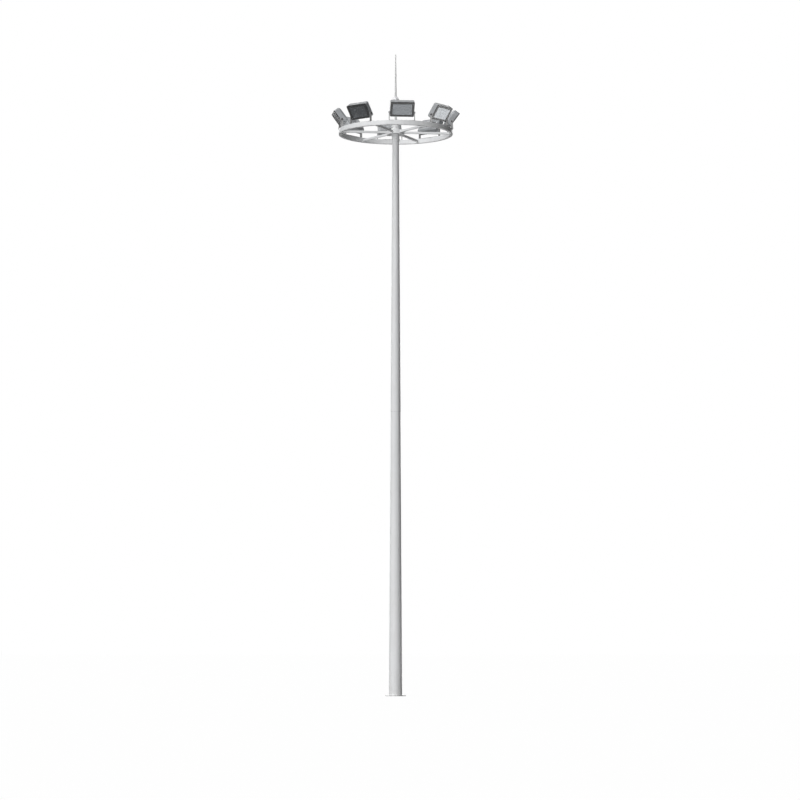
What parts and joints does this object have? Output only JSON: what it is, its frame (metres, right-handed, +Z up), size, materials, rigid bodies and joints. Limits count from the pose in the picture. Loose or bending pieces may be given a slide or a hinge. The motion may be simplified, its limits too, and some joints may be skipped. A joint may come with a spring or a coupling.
{
  "type": "high mast floodlight tower",
  "caption": "Tall tapered round mast with a bolt-down base flange, a spoked ring of tiltable floodlights facing outward at its head, and a lightning rod on top.",
  "frame": {"origin": "centre of the underside of the base flange, on the mast's axis, at ground level", "axes": "+Z up along the mast, -Y towards the front floodlight, +X to the right as the front is faced"},
  "size_m": [4.5764, 4.5764, 22.802],
  "materials": {
    "mast_paint": "smooth light grey coating over galvanised steel, satin",
    "ring_paint": "light grey coating over galvanised steel, satin",
    "galvanised_steel": "hot-dip galvanised, dull",
    "bracket_steel": "mid grey folded steel, satin",
    "rod_steel": "galvanised tube, dull",
    "hood_white": "white moulded dome",
    "housing_paint": "die-cast aluminium with mid grey powder coat",
    "frame_paint": "die-cast aluminium with dark grey powder coat",
    "front_glass": "toughened glass, clear with a grey cast"
  },
  "bodies": {
    "mast": {"base_flange": "galvanised_steel", "mast_lower": "mast_paint", "mast_upper": "mast_paint", "door_frame": "mast_paint", "access_door": "mast_paint", "head_sleeve": "mast_paint", "hub": "ring_paint", "spokes": "ring_paint", "outer_ring": "ring_paint", "rod_post": "rod_steel", "rod_hood": "hood_white", "lightning_rod": "rod_steel", "bracket_1": "bracket_steel", "bracket_2": "bracket_steel", "bracket_3": "bracket_steel", "bracket_4": "bracket_steel", "bracket_5": "bracket_steel", "bracket_6": "bracket_steel", "bracket_7": "bracket_steel", "bracket_8": "bracket_steel"},
    "floodlight_1": {"floodlight_1_housing": "housing_paint", "floodlight_1_frame": "frame_paint", "floodlight_1_glass": "front_glass"},
    "floodlight_2": {"floodlight_2_housing": "housing_paint", "floodlight_2_frame": "frame_paint", "floodlight_2_glass": "front_glass"},
    "floodlight_3": {"floodlight_3_housing": "housing_paint", "floodlight_3_frame": "frame_paint", "floodlight_3_glass": "front_glass"},
    "floodlight_4": {"floodlight_4_housing": "housing_paint", "floodlight_4_frame": "frame_paint", "floodlight_4_glass": "front_glass"},
    "floodlight_5": {"floodlight_5_housing": "housing_paint", "floodlight_5_frame": "frame_paint", "floodlight_5_glass": "front_glass"},
    "floodlight_6": {"floodlight_6_housing": "housing_paint", "floodlight_6_frame": "frame_paint", "floodlight_6_glass": "front_glass"},
    "floodlight_7": {"floodlight_7_housing": "housing_paint", "floodlight_7_frame": "frame_paint", "floodlight_7_glass": "front_glass"},
    "floodlight_8": {"floodlight_8_housing": "housing_paint", "floodlight_8_frame": "frame_paint", "floodlight_8_glass": "front_glass"}
  },
  "joints": [
    {"name": "floodlight_1_tilt", "type": "hinge", "parent": "mast", "child": "floodlight_1", "pos_m": [0.22188, -1.9474, 20.345], "axis": [0.9936, 0.1132, 0], "range_deg": [-36, 54]},
    {"name": "floodlight_2_tilt", "type": "hinge", "parent": "mast", "child": "floodlight_2", "pos_m": [1.53391, -1.22013, 20.345], "axis": [0.6225, 0.7826, 0], "range_deg": [-36, 54]},
    {"name": "floodlight_3_tilt", "type": "hinge", "parent": "mast", "child": "floodlight_3", "pos_m": [1.9474, 0.22188, 20.345], "axis": [-0.1132, 0.9936, 0], "range_deg": [-36, 54]},
    {"name": "floodlight_4_tilt", "type": "hinge", "parent": "mast", "child": "floodlight_4", "pos_m": [1.22013, 1.53391, 20.345], "axis": [-0.7826, 0.6225, 0], "range_deg": [-36, 54]},
    {"name": "floodlight_5_tilt", "type": "hinge", "parent": "mast", "child": "floodlight_5", "pos_m": [-0.22188, 1.9474, 20.345], "axis": [-0.9936, -0.1132, 0], "range_deg": [-36, 54]},
    {"name": "floodlight_6_tilt", "type": "hinge", "parent": "mast", "child": "floodlight_6", "pos_m": [-1.53391, 1.22013, 20.345], "axis": [-0.6225, -0.7826, 0], "range_deg": [-36, 54]},
    {"name": "floodlight_7_tilt", "type": "hinge", "parent": "mast", "child": "floodlight_7", "pos_m": [-1.9474, -0.22188, 20.345], "axis": [0.1132, -0.9936, 0], "range_deg": [-36, 54]},
    {"name": "floodlight_8_tilt", "type": "hinge", "parent": "mast", "child": "floodlight_8", "pos_m": [-1.22013, -1.53391, 20.345], "axis": [0.7826, -0.6225, 0], "range_deg": [-36, 54]}
  ]
}
